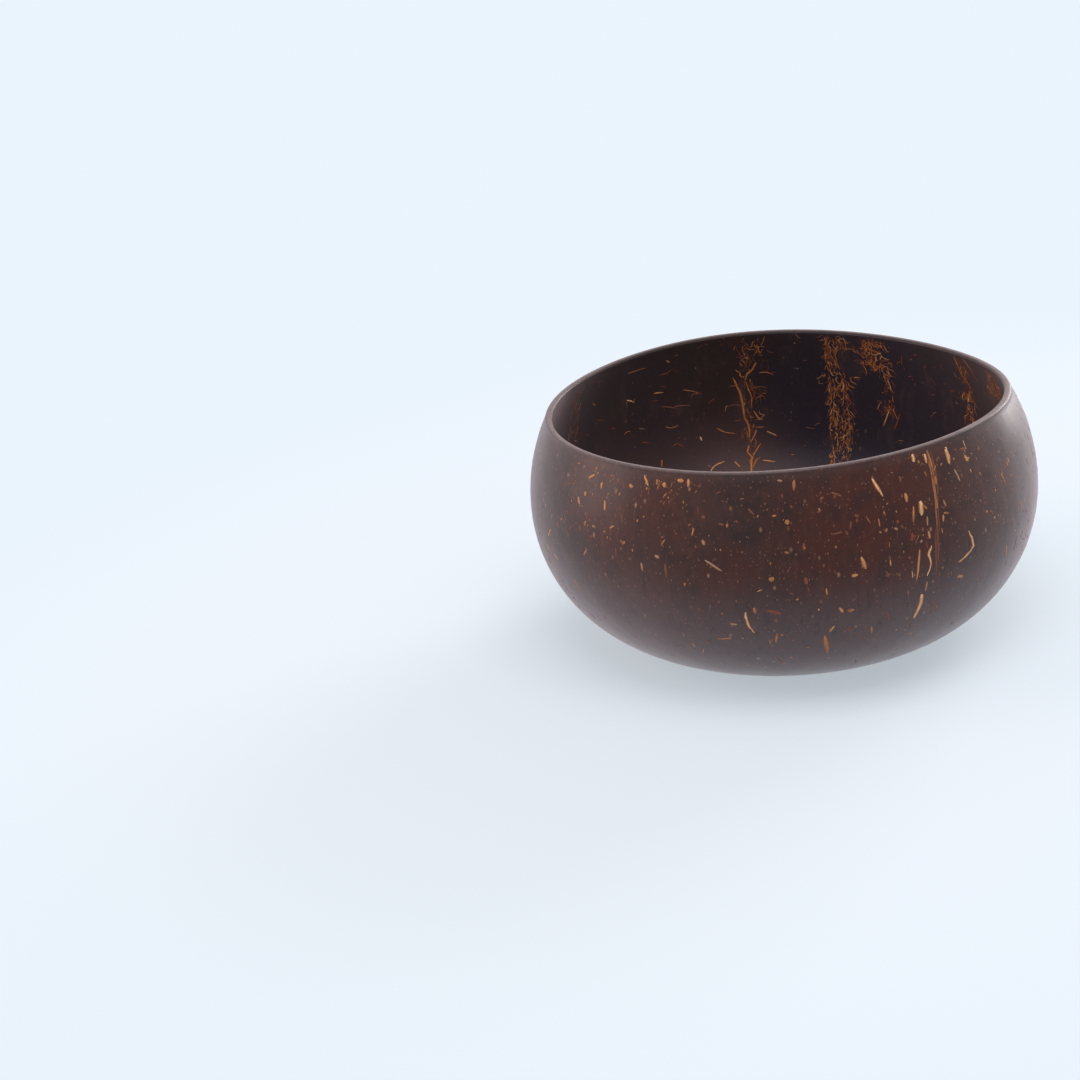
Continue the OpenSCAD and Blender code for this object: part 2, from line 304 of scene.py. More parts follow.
class Wall:
    """The section of the shell and the natural waves that turn it into the real form."""

    def __init__(self, shape):
        self.shape = shape
        self.belly = shape.belly_width / 2
        self.mouth = self.belly - shape.mouth_inset
        self.rise = shape.lip_rise - shape.lip_crown
        self.outside = self.measured(self.outside_section(FINE_STEPS))
        self.inside = self.measured(self.inside_section(FINE_STEPS))

    def upper_section(self, wide, narrow, steps):
        """Points from the lip down to the widest ring, on an ellipse that passes through the mouth."""
        points = []
        for i in range(steps):
            up = 1 - i / steps
            radius = wide * math.sqrt(1 - (1 - (narrow / wide) ** 2) * up ** 2)
            points.append(Vector((radius, self.shape.belly_height + self.rise * up)))
        return points

    def outside_section(self, steps):
        """Points from the lip down the outside to the edge of the flat."""
        flat = self.shape.base_width / 2
        points = self.upper_section(self.belly, self.mouth, steps)
        for i in range(steps + 1):
            angle = math.pi / 2 * (1 - i / steps)
            radius = flat + (self.belly - flat) * math.sin(angle)
            points.append(Vector((radius, self.shape.belly_height * (1 - math.cos(angle)))))
        return points

    def inside_section(self, steps):
        """Points from the lip down the inside to the middle of the floor."""
        s = self.shape
        wide = self.belly - s.side_wall
        deep = s.belly_height - s.floor_thickness
        points = self.upper_section(wide, self.mouth - s.lip_wall, steps)
        for i in range(steps + 1):
            across, down = squared_circle(math.pi / 2 * i / steps, s.cavity_fullness)
            points.append(Vector((wide * across, s.belly_height - deep * down)))
        points[-1].x = 0.0
        return points

    def lip_section(self, steps):
        """Points over the lip, from the outside to the inside, without its two ends."""
        s = self.shape
        points = []
        for i in range(1, steps):
            across, up = squared_circle(math.pi * i / steps, s.lip_fullness)
            radius = self.mouth - s.lip_wall * (1 - across) / 2
            points.append(Vector((radius, s.belly_height + self.rise + s.lip_crown * up)))
        return points

    @staticmethod
    def measured(points):
        """The same points with how far each lies along the wall from the first."""
        marks = [0.0]
        for before, after in zip(points, points[1:]):
            marks.append(marks[-1] + (after - before).length)
        return points, marks

    @staticmethod
    def along(line, down):
        """The point of a measured line that lies so far along it."""
        points, marks = line
        down = min(max(down, 0.0), marks[-1])
        i = min(bisect_right(marks, down), len(marks) - 1)
        return points[i - 1].lerp(points[i], (down - marks[i - 1]) / (marks[i] - marks[i - 1]))

    def natural(self, radius, height, turn):
        """A point of the plain round shell moved out by the ridges and up by the lip's waves."""
        s = self.shape
        lobe = s.ridge_out * math.cos(3 * (turn - s.ridge_turn))
        lobe += s.oval_out * math.cos(2 * (turn - s.oval_turn))
        wave = s.lip_wave * math.cos(2 * (turn - s.lip_wave_turn))
        wave += s.lip_ripple * math.cos(3 * (turn - s.lip_ripple_turn))
        reach = radius * (1 + lobe / self.belly)
        lift = wave * smooth_step(s.belly_height, s.belly_height + self.rise, height)
        return Vector((reach * math.cos(turn), reach * math.sin(turn), height + lift))

    def place(self, line, turn, down):
        """The point on one side of the wall in one direction, so far below the lip along the wall."""
        radius, height = self.along(line, down)
        return self.natural(radius, height, turn)

    def normal(self, line, turn, down, outwards):
        """The direction straight off the wall there: out of the shell, or into the hollow."""
        down = min(max(down, DOWN_STEP), line[1][-1] - DOWN_STEP)
        sideways = self.place(line, turn + TURN_STEP, down) - self.place(line, turn - TURN_STEP, down)
        downwards = self.place(line, turn, down + DOWN_STEP) - self.place(line, turn, down - DOWN_STEP)
        away = downwards.cross(sideways).normalized()
        return away if outwards else -away


# Node helpers


def new_material(name):
    material = bpy.data.materials.new(name)
    material.use_nodes = True
    material.node_tree.nodes.clear()
    return material, material.node_tree


def rgba(colour, light=1.0):
    """A colour with its alpha, made so much lighter or darker."""
    return (colour[0] * light, colour[1] * light, colour[2] * light, 1.0)


def add(tree, kind, values=(), **settings):
    """Adds a node, sets its properties, and sets or joins its inputs."""
    node = tree.nodes.new(kind)
    for key, value in settings.items():
        setattr(node, key, value)
    for key, value in dict(values).items():
        socket = node.inputs[key]
        if isinstance(value, bpy.types.NodeSocket):
            tree.links.new(value, socket)
        elif socket.type == "RGBA":
            socket.default_value = rgba(value)
        else:
            socket.default_value = value
    return node


def math_node(tree, operation, *values, clamp=False):
    return add(tree, "ShaderNodeMath", enumerate(values), operation=operation, use_clamp=clamp).outputs[0]


def times(tree, first, second):
    return math_node(tree, "MULTIPLY", first, second)


def times_plus(tree, first, second, third):
    return math_node(tree, "MULTIPLY_ADD", first, second, third)


def most(tree, first, second):
    return math_node(tree, "MAXIMUM", first, second)


def blend(tree, factor, first, second, kind="MIX"):
    """Mixes two colours."""
    values = {0: factor, 6: first, 7: second}
    return add(tree, "ShaderNodeMix", values, data_type="RGBA", blend_type=kind).outputs[2]


def either(tree, factor, first, second):
    """Mixes two shaders."""
    return add(tree, "ShaderNodeMixShader", {0: factor, 1: first.outputs[0], 2: second.outputs[0]})


def between(tree, value, low, high, strength=1.0):
    """0 below low, its full strength above high and smooth between them; low may be the larger."""
    ramp = {"Value": value, "From Min": low, "From Max": high, "To Max": strength}
    return add(tree, "ShaderNodeMapRange", ramp, interpolation_type="SMOOTHSTEP").outputs["Result"]


def mark(tree, name):
    """A number that the mesh holds at each of its points."""
    return add(tree, "ShaderNodeAttribute", attribute_name=name).outputs["Fac"]


def in_mm(tree, stretch=(1, 1, 1)):
    """Object coordinates in mm, squeezed along each axis as asked."""
    place = add(tree, "ShaderNodeTexCoord").outputs["Object"]
    values = {"Vector": place, "Scale": [v / MM for v in stretch]}
    return add(tree, "ShaderNodeMapping", values, vector_type="POINT").outputs["Vector"]


def moved(tree, vector, by):
    return add(tree, "ShaderNodeVectorMath", {0: vector, 1: by}, operation="ADD").outputs["Vector"]


def distance(tree, vector, place):
    return add(tree, "ShaderNodeVectorMath", {0: vector, 1: place}, operation="DISTANCE").outputs["Value"]


def clouds(tree, vector, size_mm, detail=2.0, roughness=0.5, twist=0.0):
    """An uneven pattern of soft patches."""
    values = {"Vector": vector, "Scale": 1 / size_mm, "Detail": detail}
    values |= {"Roughness": roughness, "Distortion": twist}
    return add(tree, "ShaderNodeTexNoise", values).outputs["Fac"]


def patches(tree, vector, low, high, strength=1.0, **pattern):
    """The patches of a cloud pattern that lie above a level, with soft edges."""
    return between(tree, clouds(tree, vector, **pattern), low, high, strength)


def specks(tree, vector, spacing_mm, smallest, largest, rarity=2.2):
    """Round specks of mixed sizes: a mask, and a number that differs from speck to speck."""
    cells = add(tree, "ShaderNodeTexVoronoi", {"Vector": vector, "Scale": 1 / spacing_mm})
    chance = add(tree, "ShaderNodeSeparateColor", {"Color": cells.outputs["Color"]})
    size = math_node(tree, "POWER", chance.outputs["Red"], rarity)
    reach = times_plus(tree, size, (largest - smallest) / spacing_mm, smallest / spacing_mm)
    edge = math_node(tree, "SUBTRACT", reach, cells.outputs["Distance"])
    soft = times(tree, reach, SPECK_SOFTNESS)
    return math_node(tree, "DIVIDE", edge, soft, clamp=True), chance.outputs["Green"]


def polish(tree, colour, roughness, height, index=1.4, haze=0.0):
    """The satin finish over a colour. Height is in mm."""
    bump = add(tree, "ShaderNodeBump", {"Height": height, "Distance": MM})
    values = {"Base Color": colour, "Roughness": roughness, "Normal": bump.outputs["Normal"], "IOR": index}
    values |= {"Sheen Weight": haze, "Sheen Roughness": HAZE_SPREAD, "Sheen Tint": HAZE_TINT}
    shader = add(tree, "ShaderNodeBsdfPrincipled", values)
    add(tree, "ShaderNodeOutputMaterial", {"Surface": shader.outputs["BSDF"]})


# The polished shell

HAZE_SPREAD = 0.45
HAZE_TINT = (1.0, 0.82, 0.86)
SPECK_SOFTNESS = 0.75

# Marks of this much or more of the inside belong to the inside wall, and less is the lip or the outside
ALL_INSIDE = 0.999

# How each pattern is squeezed along the three axes: the grain, the fine fibre, both specks and the scratches
UPRIGHT = (1, 1, 0.16)
LEANING = (1, 1, 0.45)
FEW_SQUEEZE = (1, 1, 0.6)
MANY_SQUEEZE = (1, 1, 0.75)
LYING = (0.25, 0.25, 2.4)

# Where the colour changes, in mm from the lip along the wall, which run below 0 over the lip itself
LIP_OUTER_SIDE = dict(low=0.1, high=-1.3)
LIP_INNER_SIDE = dict(low=-2.5, high=-1.9)
# A faint highlight painted on the wall just below the lip
BELOW_LIP_HIGHLIGHT = dict(low=2.4, high=0.0)
# Where the painted sheen of the lower wall sets in
PAINTED_LOW_SHEEN = dict(low=23, high=45, strength=0.78)
SANDED_BASE = dict(low=62, high=86, strength=0.85)
# Where the sheen painted towards the floor of the hollow sets in
PAINTED_FLOOR_SHEEN = dict(low=18, high=44)
RUDDY_REACH = dict(low=40, high=8)
COLD_REACH = dict(low=46, high=22)

# Cloud patterns, with the levels between which each sets in
BROWN_CLOUDS = dict(size_mm=26, detail=3.0, low=0.4, high=0.62)
RED_CLOUDS = dict(size_mm=34, low=0.5, high=0.7, strength=0.6)
RED_CLOUDS_PLACE = (31, 7, 12)
MOTTLE = dict(size_mm=5.5, detail=3.0, roughness=0.6, low=0.46, high=0.68, strength=0.55)
COLD_CLOUDS = dict(size_mm=40, detail=1.0, low=0.42, high=0.6, strength=0.5)
COLD_CLOUDS_PLACE = (60, 20, 5)
# Soft patches of painted sheen over the inside
PAINTED_HOLLOW_SHEEN = dict(size_mm=9, detail=4.0, roughness=0.65, low=0.52, high=0.8, strength=0.7)
LIP_PORES = dict(size_mm=1.4, detail=3.0, low=0.35, high=0.7)
GRAIN = dict(size_mm=1.6, detail=4.0, roughness=0.6)
PALE_GRAIN = dict(low=0.5, high=0.85, strength=0.5)
DARK_GRAIN = dict(low=0.5, high=0.2, strength=0.5)

# Fine fibre: a curl's line is where its pattern crosses its middle level
CURLS = dict(size_mm=2.6, detail=3.0, roughness=0.55, twist=1.4)
CURL_MIDDLE = 0.5
CURL_LINE = dict(low=0.02, high=0.003)
CURL_BREAKS = dict(size_mm=3.2, low=0.5, high=0.62)
WARM_FIBRE = dict(size_mm=4.0, low=0.35, high=0.65)

# How many times as light as its own colour each of these is
MOTTLE_LIGHT = 0.5
PALE_GRAIN_LIGHT = 1.6
DARK_GRAIN_LIGHT = 0.6
FLOOR_SHEEN_LIGHT = 2.3
HOLLOW_SHEEN_LIGHT = 2.4
LIP_PORE_LIGHT = 0.72
DARK_FIBRE_LIGHT = 0.3
MANY_SPECKS_LIGHT = (0.6, 0.65)
FEW_SPECKS_LIGHT = (0.5, 1.0)

# Specks, and how strongly they show outside and inside
FEW_SPECKS = dict(spacing_mm=2.3, smallest=0.12, largest=0.6)
MANY_SPECKS = dict(spacing_mm=0.9, smallest=0.06, largest=0.28, rarity=1.6)
SPECKS_OUTSIDE = 0.85
SPECKS_INSIDE = 0.3

# Unevenness of the polish, and its heights in mm
DULL_CLOUDS = dict(size_mm=7, detail=4.0, roughness=0.6)
DULL_RANGE = 0.16
DULLER_INSIDE = 0.06
DULLER_LIP = 0.2
WAVES = dict(size_mm=17)
WAVE_HEIGHT = 0.35
GRAIN_HEIGHT = 0.02
SCRATCHES = dict(size_mm=1.1)
SCRATCH_HEIGHT = 0.006


def outer_colour(tree, finish, even, fall, grain):
    """Brown and reddish clouds, a painted lilac-grey sheen over the lower wall, a paler sanded colour near
    the base, and a grain that runs up the wall.
    """
    colour = blend(tree, patches(tree, even, **BROWN_CLOUDS), finish.dark, finish.brown)
    red = patches(tree, moved(tree, even, RED_CLOUDS_PLACE), **RED_CLOUDS)
    ruddy = between(tree, distance(tree, even, finish.ruddy_spot), **RUDDY_REACH)
    colour = blend(tree, most(tree, red, ruddy), colour, finish.red)
    colour = blend(tree, patches(tree, even, **MOTTLE), colour, rgba(finish.dark, MOTTLE_LIGHT))
    # Painted reflection: the lower wall turns lilac-grey, as a sheen of the floor would make it
    colour = blend(tree, between(tree, fall, **PAINTED_LOW_SHEEN), colour, finish.low_sheen)
    colour = blend(tree, between(tree, fall, **SANDED_BASE), colour, finish.sanded)
    colour = blend(tree, between(tree, grain, **PALE_GRAIN), colour, rgba(finish.brown, PALE_GRAIN_LIGHT))
    return blend(tree, between(tree, grain, **DARK_GRAIN), colour, rgba(finish.dark, DARK_GRAIN_LIGHT))


def inner_colour(tree, finish, even, leaning, fall):
    """Near black, colder on one side, with painted sheen: paler towards the floor and in soft patches."""
    # Painted highlight: the hollow grows paler towards its floor
    deep = between(tree, fall, **PAINTED_FLOOR_SHEEN)
    colour = blend(tree, deep, finish.hollow, rgba(finish.hollow, FLOOR_SHEEN_LIGHT))
    cold = patches(tree, moved(tree, even, COLD_CLOUDS_PLACE), **COLD_CLOUDS)
    black = between(tree, distance(tree, even, finish.cold_spot), **COLD_REACH)
    colour = blend(tree, most(tree, cold, black), colour, finish.hollow_cold)
    # Painted sheen in soft patches over the inside
    haze = patches(tree, leaning, **PAINTED_HOLLOW_SHEEN)
    return blend(tree, haze, colour, rgba(finish.hollow, HOLLOW_SHEEN_LIGHT))


def with_fine_fibre(tree, finish, colour, even, leaning):
    """Adds fine curled fibre, thickest in the fibrous bands."""
    off_line = math_node(tree, "SUBTRACT", clouds(tree, leaning, **CURLS), CURL_MIDDLE)
    line = between(tree, math_node(tree, "ABSOLUTE", off_line), **CURL_LINE)
    wisps = times(tree, times(tree, line, patches(tree, leaning, **CURL_BREAKS)), mark(tree, "fibrous"))
    warm = patches(tree, even, **WARM_FIBRE)
    fibre = blend(tree, warm, rgba(finish.fibre, DARK_FIBRE_LIGHT), finish.fibre)
    return blend(tree, wisps, colour, fibre)


def with_specks(tree, finish, colour, inside):
    """Adds many small specks, then a few larger ones."""
    strength = times_plus(tree, inside, SPECKS_INSIDE - SPECKS_OUTSIDE, SPECKS_OUTSIDE)
    sets = ((MANY_SQUEEZE, MANY_SPECKS, MANY_SPECKS_LIGHT), (FEW_SQUEEZE, FEW_SPECKS, FEW_SPECKS_LIGHT))
    for squeeze, pattern, light in sets:
        mask, tone = specks(tree, in_mm(tree, squeeze), **pattern)
        own = blend(tree, tone, rgba(finish.fibre, light[0]), rgba(finish.speck, light[1]))
        colour = blend(tree, times(tree, mask, strength), colour, own)
    return colour


def lip_mask(tree, finish, inside, fall):
    """Where the cut lip shows, its own paler colour lightened by a painted highlight, with a faint painted
    highlight below it outside.
    """
    lip = times(tree, between(tree, fall, **LIP_INNER_SIDE), between(tree, fall, **LIP_OUTER_SIDE))
    lip = most(tree, lip, between(tree, fall, strength=finish.below_lip_highlight, **BELOW_LIP_HIGHLIGHT))
    return times(tree, lip, math_node(tree, "LESS_THAN", inside, ALL_INSIDE))


def polished_shell_material(finish):
    """Dark satin shell: clouds, grain, fine fibre and specks under the polish, painted sheen over the lower
    wall and inside, and a paler cut lip with a painted highlight.
    """
    material, tree = new_material("polished_shell")
    even = in_mm(tree)
    leaning = in_mm(tree, LEANING)
    inside = mark(tree, "inside")
    fall = mark(tree, "fall")
    grain = clouds(tree, in_mm(tree, UPRIGHT), **GRAIN)
    outer = outer_colour(tree, finish, even, fall, grain)
    colour = blend(tree, inside, outer, inner_colour(tree, finish, even, leaning, fall))
    colour = with_fine_fibre(tree, finish, colour, even, leaning)
    colour = with_specks(tree, finish, colour, inside)
    lip = lip_mask(tree, finish, inside, fall)
    # The lip's own colour together with its painted highlight
    cut = blend(tree, patches(tree, even, **LIP_PORES), finish.lip, rgba(finish.lip, LIP_PORE_LIGHT))
    colour = blend(tree, lip, colour, cut)

    dull = clouds(tree, even, **DULL_CLOUDS)
    roughness = times_plus(tree, dull, DULL_RANGE, finish.gloss_spread - DULL_RANGE / 2)
    roughness = times_plus(tree, inside, DULLER_INSIDE, roughness)
    roughness = times_plus(tree, lip, DULLER_LIP, roughness)
    height = times(tree, clouds(tree, even, **WAVES), WAVE_HEIGHT)
    height = times_plus(tree, grain, GRAIN_HEIGHT, height)
    scratches = clouds(tree, in_mm(tree, LYING), **SCRATCHES)
    height = times_plus(tree, scratches, SCRATCH_HEIGHT, height)
    polish(tree, colour, roughness, height, finish.oil_index, finish.haze)
    return material


# The fibre strands' finish

# Colours of the tones, in their order
TONE_COLOURS = (
    (0.19, 0.06, 0.027), (0.48, 0.18, 0.052), (0.62, 0.29, 0.11), (0.9, 0.52, 0.26), (0.38, 0.23, 0.155),
    (0.24, 0.05, 0.025),
)
EDGE_BROWN = (0.17, 0.052, 0.02)
FRINGE_ORANGE = (0.42, 0.155, 0.042)

# Streaks along the strands, and how far they darken and lighten them
STREAK_SQUEEZE = (1, 1, 0.3)
STREAKS = dict(size_mm=0.5, detail=3.0, roughness=0.6)
STREAK_SHADE = {"From Min": 0.3, "From Max": 0.7, "To Min": 0.6, "To Max": 1.15}
STREAK_HEIGHT = 0.012
STRAND_ROUGHNESS = 0.38
STREAK_ROUGHNESS = 0.15

# Where edge and fringe lie between a strand's middle, 0, and its rim, 1, and the tones that have a fringe
EDGE = dict(low=0.15, high=0.95, strength=0.85)
FRINGE = dict(low=0.28, high=0.62)
PALE_TONES_FROM = dict(low=0.15, high=0.4)
PALE_TONES_TO = dict(low=0.9, high=0.7)


def strand_material(name, light=1.0, fringe=0.0):
    """Fibre strands under the polish, coloured strand by strand, darker and more orange at their rims."""
    material, tree = new_material(name)
    tone = mark(tree, "tone")
    rim = mark(tree, "rim")
    ramp = add(tree, "ShaderNodeValToRGB", {"Fac": tone})
    stops = ramp.color_ramp.elements
    while len(stops) < len(TONES):
        stops.new(0.5)
    for i, colour in enumerate(TONE_COLOURS):
        stops[i].position = i / TONES[-1]
        # A light above 1 makes a paler copy of the tones, which the inside strands use as painted light
        stops[i].color = rgba(colour, light)
    streaks = clouds(tree, in_mm(tree, STREAK_SQUEEZE), **STREAKS)
    shade = add(tree, "ShaderNodeMapRange", {"Value": streaks} | STREAK_SHADE).outputs["Result"]
    colour = blend(tree, 1.0, ramp.outputs["Color"], shade, kind="MULTIPLY")
    colour = blend(tree, between(tree, rim, **EDGE), colour, EDGE_BROWN)
    pale = times(tree, between(tree, tone, **PALE_TONES_FROM), between(tree, tone, **PALE_TONES_TO))
    ring = times(tree, between(tree, rim, strength=fringe, **FRINGE), pale)
    colour = blend(tree, ring, colour, FRINGE_ORANGE)
    roughness = times_plus(tree, streaks, STREAK_ROUGHNESS, STRAND_ROUGHNESS)
    polish(tree, colour, roughness, times(tree, streaks, STREAK_HEIGHT))
    return material


# The paste in the eyes

PASTE_DARK = (0.045, 0.026, 0.018)
PASTE_BROWN = (0.11, 0.062, 0.04)
DUST_DARK = (0.02, 0.012, 0.01)
DUST_PALE = (0.3, 0.17, 0.09)
PASTE_CLOUDS = dict(size_mm=2.2, detail=4.0, roughness=0.6, low=0.35, high=0.68)
DUST = dict(spacing_mm=0.55, smallest=0.03, largest=0.2)
PASTE_PORES = dict(size_mm=0.5, detail=3.0)
PASTE_PORE_HEIGHT = 0.03
PASTE_ROUGHNESS = 0.46
PASTE_UNEVENNESS = 0.14


def eye_filler_material():
    """Hardened paste of shell dust: dark brown and finely speckled, sanded with the base."""
    material, tree = new_material("eye_filler")
    even = in_mm(tree)
    cloud = patches(tree, even, **PASTE_CLOUDS)
    colour = blend(tree, cloud, PASTE_DARK, PASTE_BROWN)
    dust, dust_tone = specks(tree, even, **DUST)
    colour = blend(tree, dust, colour, blend(tree, dust_tone, DUST_DARK, DUST_PALE))
    pores = times(tree, clouds(tree, even, **PASTE_PORES), PASTE_PORE_HEIGHT)
    polish(tree, colour, times_plus(tree, cloud, PASTE_UNEVENNESS, PASTE_ROUGHNESS), pores)
    return material


# The shell

# Rings of the base and the part around the eyes, as shares of the flat's width
BASE_RINGS = (0.0, 0.1, 0.33)
EYE_PART = 0.3

# Points closer than this are one point, and places closer than this lie on the flat's rim
ONE_POINT = 0.002 * MM
ON_RIM = 0.001 * MM
SIZE_SLACK = 0.3 * MM
SHARP_EDGE = math.radians(40)

# Steps of the softened edge, whose profile is round, and steps around an eye
EDGE_STEPS = 3
ROUND = 0.5
EYE_STEPS = 64

# Fine fibre in the shell's colour: outside, and inside between the bands. A band fades over so many degrees
# before and after each side, and so many mm before and after its top and its bottom.
FIBRE_OUTSIDE = 0.12
FIBRE_INSIDE = 0.05
SIDE_FADE = (2, 2)
TOP_FADE = (3, 1)
BOTTOM_FADE = (6, 5)


def link_mesh(name, bm):
    """Makes an object of a bmesh and puts it in the scene."""
    mesh = bpy.data.meshes.new(name)
    bm.to_mesh(mesh)
    bm.free()
    piece = bpy.data.objects.new(name, mesh)
    bpy.context.scene.collection.objects.link(piece)
    return piece


def past(edge, fade, value):
    """0 before an edge and 1 after it, smooth over its fade."""
    return smooth_step(edge - fade[0], edge + fade[1], value)


def band_weight(turn, down):
    """How much fine fibre shows inside at a place given in degrees and mm."""
    weight = FIBRE_INSIDE
    for left, right, top, bottom, _, _ in INSIDE_BANDS:
        across = min(past(left, SIDE_FADE, turn), 1 - past(right, SIDE_FADE, turn))
        along = min(past(top, TOP_FADE, down), 1 - past(bottom, BOTTOM_FADE, down))
        weight = max(weight, across * along)
    return weight


def shell_section(wall):
    """Rows of point, share of inside and distance from the lip, from the base over the lip to the floor."""
    outer, outer_falls = wall.measured(wall.outside_section(MESH_STEPS))
    inner, inner_falls = wall.measured(wall.inside_section(MESH_STEPS))
    crown, crown_falls = wall.measured([outer[0]] + wall.lip_section(LIP_STEPS))
    rows = [(Vector((wall.shape.base_width * ring, 0.0)), 0.0, outer_falls[-1]) for ring in BASE_RINGS]
    rows += [(point, 0.0, fall) for point, fall in zip(outer[::-1], outer_falls[::-1])]
    rows += [(crown[i], (i - 1) / (len(crown) - 1), -crown_falls[i]) for i in range(1, len(crown))]
    rows += [(point, 1.0, fall) for point, fall in zip(inner, inner_falls)]
    return rows


def flat_rim(bm, radius):
    """The edges around the sanded flat."""
    near = {v for v in bm.verts if abs(v.co.z) < ON_RIM and abs(v.co.xy.length - radius) < ON_RIM}
    return [edge for edge in bm.edges if near.issuperset(edge.verts)]


def spun_shell(wall):
    """Spins the section around the middle, then gives it its ridges, oval and waved lip."""
    shape = wall.shape
    bm = bmesh.new()
    inside = bm.verts.layers.float.new("inside")
    fibrous = bm.verts.layers.float.new("fibrous")
    fall = bm.verts.layers.float.new("fall")
    end = bm.verts.new((0.0, 0.0, 0.0))
    for i, (point, side, down) in enumerate(shell_section(wall)):
        if i:
            end = bmesh.ops.extrude_vert_indiv(bm, verts=[end])["verts"][0]
        end.co = (point.x, 0.0, point.y)
        end[inside] = side
        end[fall] = down / MM
    bmesh.ops.spin(
        bm, geom=bm.verts[:] + bm.edges[:], steps=shape.around, angle=2 * math.pi, axis=(0, 0, 1),
        cent=(0, 0, 0), dvec=(0, 0, 0), space=Matrix.Identity(4), use_merge=True, use_normal_flip=False,
        use_duplicate=False,
    )
    bmesh.ops.remove_doubles(bm, verts=bm.verts, dist=ONE_POINT)
    rim = flat_rim(bm, shape.base_width / 2)
    bmesh.ops.bevel(
        bm, geom=rim, offset=shape.flat_edge, offset_type="OFFSET", segments=EDGE_STEPS, profile=ROUND,
        affect="EDGES", material=-1,
    )
    for v in bm.verts:
        turn = math.atan2(v.co.y, v.co.x)
        v[fibrous] = band_weight(math.degrees(turn) % 360, v[fall]) if v[inside] > 0.5 else FIBRE_OUTSIDE
        v.co = wall.natural(v.co.xy.length, v.co.z, turn)
    bmesh.ops.recalc_face_normals(bm, faces=bm.faces)
    return link_mesh("coconut_shell", bm)


def eye_cutters(eyes):
    """Tapered plugs, a glue line wider than the fills that the frame holds."""
    bm = bmesh.new()
    for name in EYE_FILLS:
        low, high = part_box(name)
        middle = (low + high) / 2
        through = name == "soft_eye_plug"
        top = high.z + (MM if through else eyes.glue_line)
        radius = (high.x - low.x) / 2 + eyes.glue_line
        bmesh.ops.create_cone(
            bm, cap_ends=True, cap_tris=False, segments=EYE_STEPS, depth=top + MM,
            matrix=Matrix.Translation((middle.x, middle.y, (top - MM) / 2)),
            radius1=radius + eyes.taper * MM, radius2=radius - eyes.taper * top,
        )
    return link_mesh("eye_cutters", bm)


def cut_eyes(shell, eyes):
    """Cuts the three eye holes."""
    cutters = eye_cutters(eyes)
    cut = shell.modifiers.new("eyes", "BOOLEAN")
    cut.operation = "DIFFERENCE"
    cut.solver = "EXACT"
    cut.object = cutters
    graph = bpy.context.evaluated_depsgraph_get()
    done = shell.evaluated_get(graph)
    result = bpy.data.meshes.new_from_object(done, preserve_all_data_layers=True, depsgraph=graph)
    shell.modifiers.clear()
    uncut = shell.data
    shell.data = result
    bpy.data.meshes.remove(uncut)
    bpy.data.meshes.remove(cutters.data)


def mark_middle(shell, wall):
    """Gives the edges of the eye holes the marks of the floor or the base around them."""
    shape = wall.shape
    side = shell.data.attributes["inside"].data
    fall = shell.data.attributes["fall"].data
    floor_end = wall.inside[1][-1] / MM
    base_end = wall.outside[1][-1] / MM
    for i, v in enumerate(shell.data.vertices):
        away = v.co.xy.length
        if away < shape.base_width * EYE_PART:
            above = v.co.z > shape.floor_thickness / 2
            side[i].value = 1.0 if above else 0.0
            fall[i].value = floor_end - away / MM if above else base_end


def check_size(shell):
    """Stops where the spun shell isn't as large as the solid that it stands for."""
    low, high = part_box("shell")
    points = [v.co for v in shell.data.vertices]
    for axis in range(3):
        ends = (min(p[axis] for p in points) - low[axis], max(p[axis] for p in points) - high[axis])
        if max(abs(e) for e in ends) > SIZE_SLACK:
            raise RuntimeError("the spun shell and the solid differ in size")


# The fibre strands

# Sides of a strand, how its rim mark grows to the sides, and how many points are made in one bundle
SIDES = 6
RIM_GROWTH = 1.15
BUNDLE = 500

# How far along a path its direction is taken from, and how ragged a strand of so many places or fewer is
AHEAD = 0.02
PLAIN_PLACES = 3
RAGGED = 0.14
RAGGED_IF_KINKED = 0.3
TIP = 1e-6

# Pale strands turn so many tones warmer over a stretch of their length, which starts somewhere in this range
WARM_TONES = (ORANGE, TAN, BEIGE)
WARMER = 0.7
WARM_START = (-0.6, 0.8)
WARM_STRETCH = 1.2

# How pointed the two ends of strands are: blunt below 0, a spindle at 0.5
DASH_START = (-0.1, 0.2)
DASH_END = (-0.15, 0.3)
FRONT_ENDS = (-0.1, 0.15)
INSIDE_ENDS = (0, 0.1)
WANDER_ENDS = (0.1, 0.1)
LINE_ENDS = (0.3, 0.3)

# In mm: how near the lip a strand may start, the radius within which moves sideways no longer turn
# faster, the shortest dash, and the shortest curl of three steps. Blunt ends take up a share of the width.
LIP_GAP = 0.25
NEAR_MIDDLE = 4
SHORTEST_DASH = 0.2
SHORT_CURL = 1.2
BLUNT_SHARE = 0.15

# How often each tone comes up, and how many degrees a curled strand turns by from step to step
OUTSIDE_TONES = (52, 27, 6, 1.5, 5, 8.5)
BAND_TONES = (45, 40, 12, 3, 0, 0)
INSIDE_TONES = (58, 21, 4, 0.5, 9, 8)
OUTSIDE_CURL = 10
BAND_CURL = 34
INSIDE_CURL = 26

# Scattered flecks outside: up to which share each kind comes, and their sizes in mm. A speck's length is
# given in widths, and longer flecks are slimmer.
UPRIGHT_SHARE = 0.7
UPRIGHT_SPREAD = 20
SPECK_SHARE = 0.8
UNCURLED_SHARE = 0.98
FLECK_WIDTH = 0.3
FLECK_EXTRA = 0.55
SPECK_LENGTH = (1.0, 1.8)
SHORT_LENGTH = (1.2, 2.4)
CURL_LENGTH = (2.5, 5)
SLIM = 0.8

